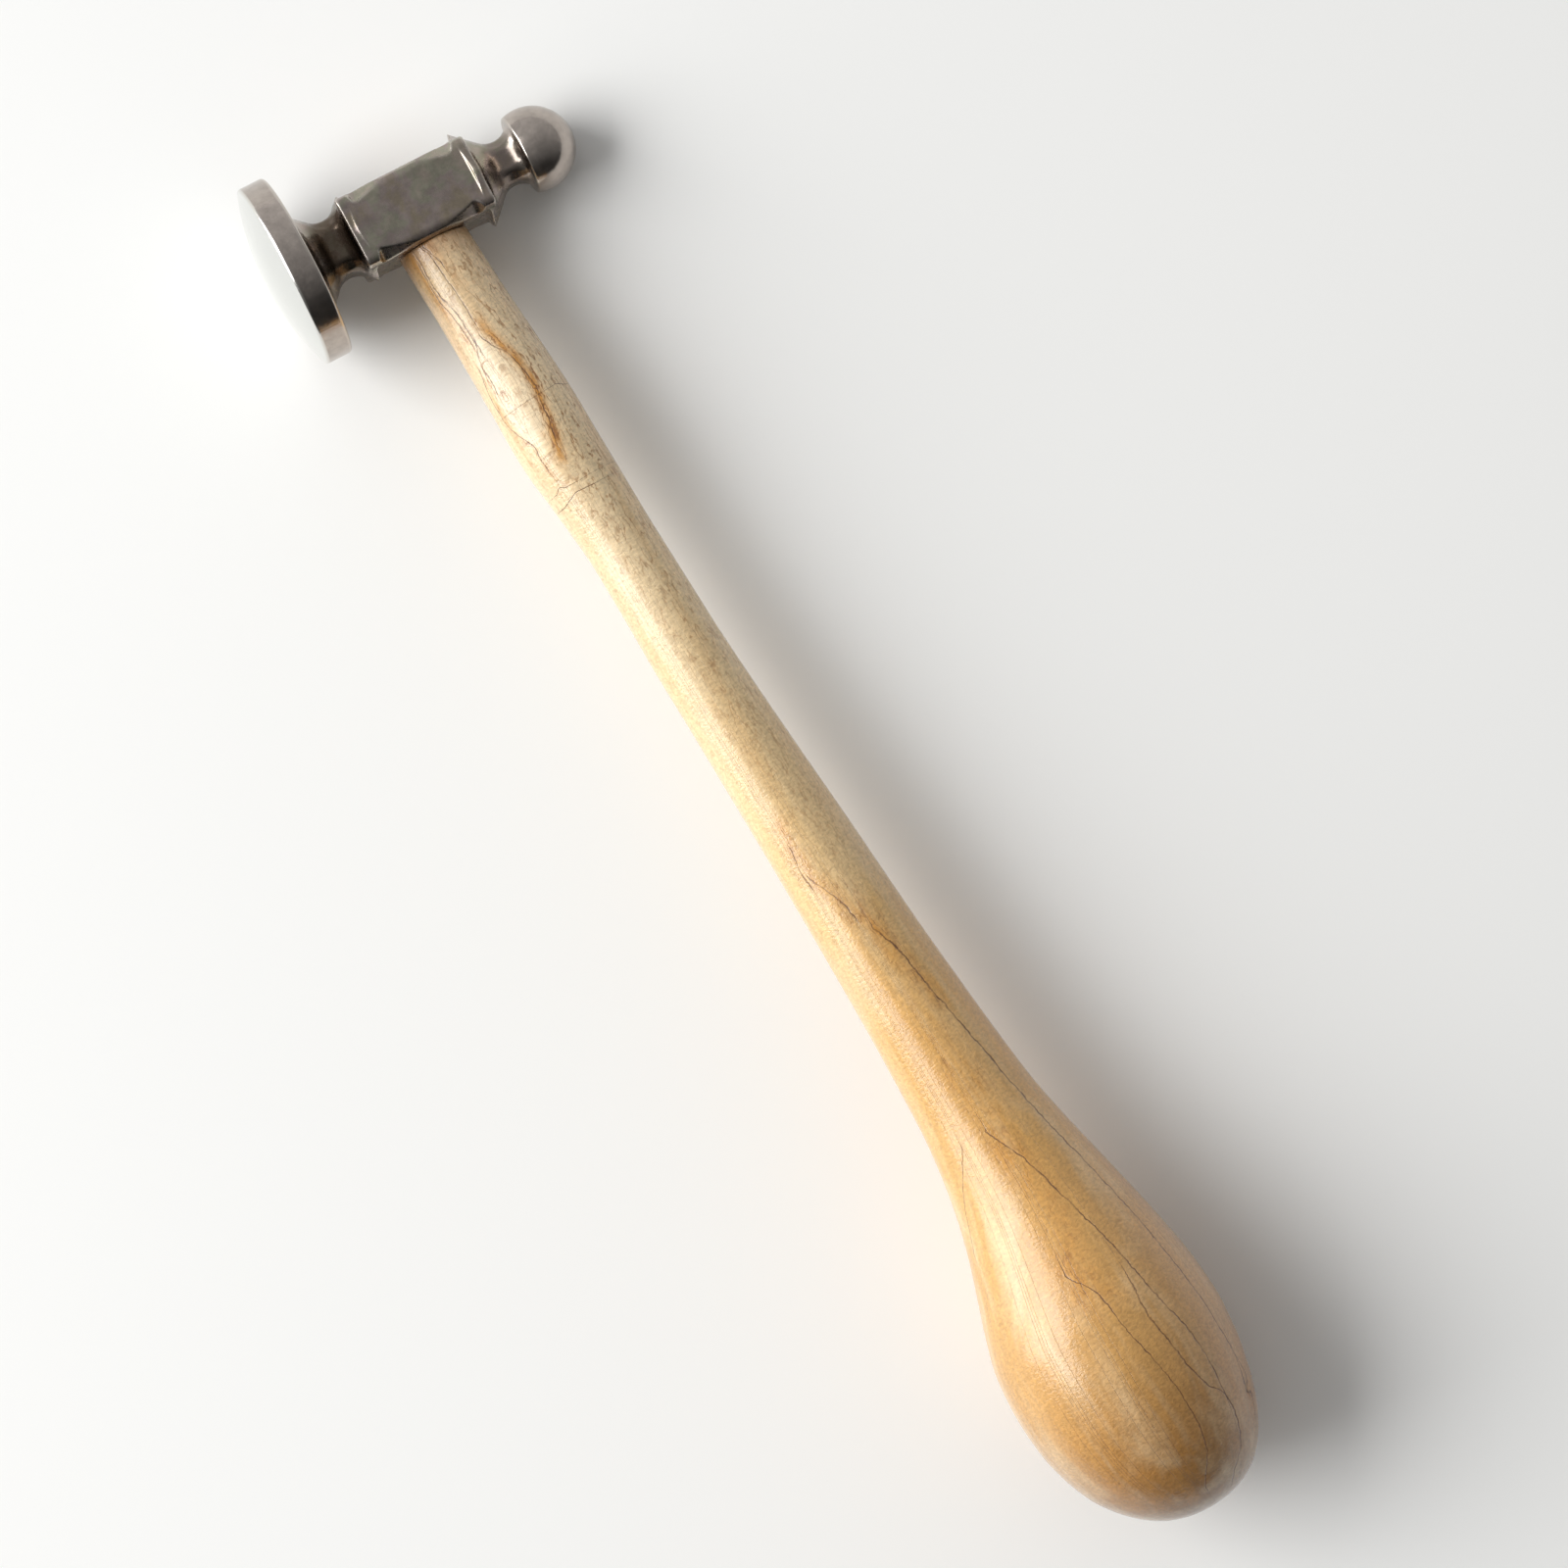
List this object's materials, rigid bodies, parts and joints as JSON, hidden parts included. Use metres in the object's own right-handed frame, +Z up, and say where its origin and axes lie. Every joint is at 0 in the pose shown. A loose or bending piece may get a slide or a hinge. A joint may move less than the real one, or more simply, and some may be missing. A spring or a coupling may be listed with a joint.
{
  "type": "chasing hammer",
  "caption": "Light ball peen hammer with a broad crowned face, an eye block with scalloped cheeks and a slender wooden handle that swells into a pear-shaped grip.",
  "frame": {"origin": "centre of the footprint on the bench that the hammer lies on", "axes": "+X along the handle from the grip to the head, +Y along the head from the peen to the face, +Z up, out of the upper cheek. The hammer lies on the rim of its face, its ball and its grip, so the head is rolled 11.7 degrees and the handle rises 1.9 degrees towards the grip"},
  "size_m": [0.2398, 0.0508, 0.0349],
  "materials": {
    "head_steel": "satin ground, with the face and the ball polished",
    "handle_wood": "turned pale hardwood under a clear gloss lacquer",
    "wedge_wood": "plain sawn end grain",
    "wedge_steel": "dull, as hammered in"
  },
  "bodies": {
    "root": {"head": "head_steel", "handle": "handle_wood", "wooden_wedge": "wedge_wood", "steel_wedge": "wedge_steel"}
  },
  "joints": []
}
